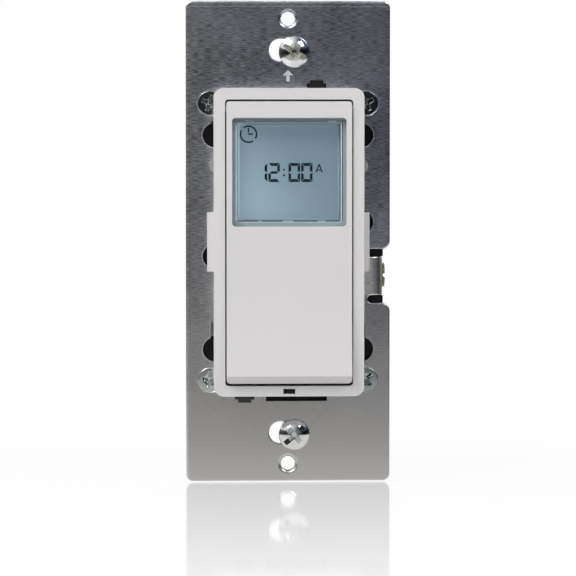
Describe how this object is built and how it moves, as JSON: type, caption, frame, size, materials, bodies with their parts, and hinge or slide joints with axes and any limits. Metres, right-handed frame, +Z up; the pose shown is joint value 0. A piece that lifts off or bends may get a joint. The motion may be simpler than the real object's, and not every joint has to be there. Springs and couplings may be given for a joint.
{
  "type": "timer light switch",
  "caption": "In-wall programmable timer light switch with a hinged push pad, display window, setting keys and a metal mounting strap.",
  "frame": {"origin": "middle of the strap's rear face, between the two wallplate screw holes", "axes": "+Z up along the strap, -Y out of the wall towards the user, +X to the user's right"},
  "size_m": [0.0444, 0.04, 0.1046],
  "materials": {
    "strap_metal": "brushed",
    "white_plastic": "satin",
    "black_plastic": "fine grain",
    "grey_plastic": "satin",
    "cream_plastic": "satin",
    "key_plastic": "satin",
    "clear_plastic": "clear",
    "display_glass": "blue-grey display",
    "display_border": "satin",
    "milky_plastic": "milky",
    "smoked_plastic": "smoked",
    "contact_rubber": "matte",
    "board_laminate": "solder mask",
    "chip_black": "moulded",
    "can_metal": "drawn",
    "relay_blue": "moulded",
    "capacitor_yellow": "moulded",
    "capacitor_dark": "sleeved",
    "varistor_blue": "dipped",
    "copper_wire": "enamelled",
    "screw_steel": "zinc plated",
    "screw_chrome": "bright",
    "pin_steel": "ground",
    "ground_green": "yellow-green dip",
    "brass": "plain",
    "nickel_plate": "nickel plated",
    "fibre": "vulcanised fibre"
  },
  "bodies": {
    "switch": {"mounting_strap": "strap_metal", "bezel_frame": "white_plastic", "front_cover": "black_plastic", "back_housing": "black_plastic", "housing_screws": "screw_steel", "ground_screw": "ground_green", "hinge_pins": "pin_steel", "load_switch": "black_plastic", "lcd_glass": "display_glass", "lcd_bezel": "display_border", "backlight_guide": "milky_plastic", "lcd_connectors": "contact_rubber", "control_board": "board_laminate", "board_screws": "screw_steel", "microcontroller": "chip_black", "clock_crystal": "can_metal", "backup_cell": "can_metal", "key_switches": "black_plastic", "board_header": "chip_black", "power_board": "board_laminate", "relay": "relay_blue", "film_capacitor": "capacitor_yellow", "smoothing_capacitors": "capacitor_dark", "surge_varistor": "varistor_blue", "choke_coil": "copper_wire", "locator_led": "milky_plastic", "light_pipe": "smoked_plastic", "line_terminal": "brass", "load_terminal": "brass", "neutral_terminal": "nickel_plate", "terminal_clamps": "nickel_plate", "hot_terminal_screws": "brass", "neutral_terminal_screw": "nickel_plate"},
    "yoke": {"press_yoke": "grey_plastic"},
    "pad": {"push_pad": "white_plastic", "window_lens": "clear_plastic"},
    "plunger": {"load_plunger": "cream_plastic"},
    "up_key": {"key_up": "key_plastic", "stem_up": "cream_plastic"},
    "down_key": {"key_down": "key_plastic", "stem_down": "cream_plastic"},
    "enter_key": {"key_enter": "key_plastic", "stem_enter": "cream_plastic"},
    "back_key": {"key_back": "key_plastic", "stem_back": "cream_plastic"},
    "top_screw": {"top_box_screw": "screw_chrome", "top_screw_washer": "fibre"},
    "bottom_screw": {"bottom_box_screw": "screw_chrome", "bottom_screw_washer": "fibre"}
  },
  "joints": [
    {"name": "yoke_press", "type": "hinge", "parent": "switch", "child": "yoke", "pos_m": [0, -0.007, 0.0288], "axis": [1, 0, 0], "range_deg": [0, 0.9], "stiffness_Nm_per_rad": 1, "springref_deg": -5.73},
    {"name": "pad_open", "type": "hinge", "parent": "yoke", "child": "pad", "pos_m": [0, -0.007, 0.0288], "axis": [-1, 0, 0], "range_deg": [0, 95]},
    {"name": "plunger_press", "type": "slide", "parent": "switch", "child": "plunger", "axis": [0, 1, 0], "range_m": [0, 0.0008551]},
    {"name": "up_press", "type": "slide", "parent": "switch", "child": "up_key", "axis": [0, 1, 0], "range_m": [0, 0.0004], "stiffness_N_per_m": 400, "springref_m": -0.0005},
    {"name": "down_press", "type": "slide", "parent": "switch", "child": "down_key", "axis": [0, 1, 0], "range_m": [0, 0.0004], "stiffness_N_per_m": 400, "springref_m": -0.0005},
    {"name": "enter_press", "type": "slide", "parent": "switch", "child": "enter_key", "axis": [0, 1, 0], "range_m": [0, 0.0004], "stiffness_N_per_m": 400, "springref_m": -0.0005},
    {"name": "back_press", "type": "slide", "parent": "switch", "child": "back_key", "axis": [0, 1, 0], "range_m": [0, 0.0004], "stiffness_N_per_m": 400, "springref_m": -0.0005},
    {"name": "top_screw_slide", "type": "slide", "parent": "switch", "child": "top_screw", "axis": [1, 0, 0], "range_m": [-0.0035, 0.0009]},
    {"name": "bottom_screw_slide", "type": "slide", "parent": "switch", "child": "bottom_screw", "axis": [1, 0, 0], "range_m": [-0.0035, 0.0009]}
  ],
  "couplings": [
    {"joint": "plunger_press", "follows": "yoke_press", "m_per_rad": 0.0538}
  ]
}
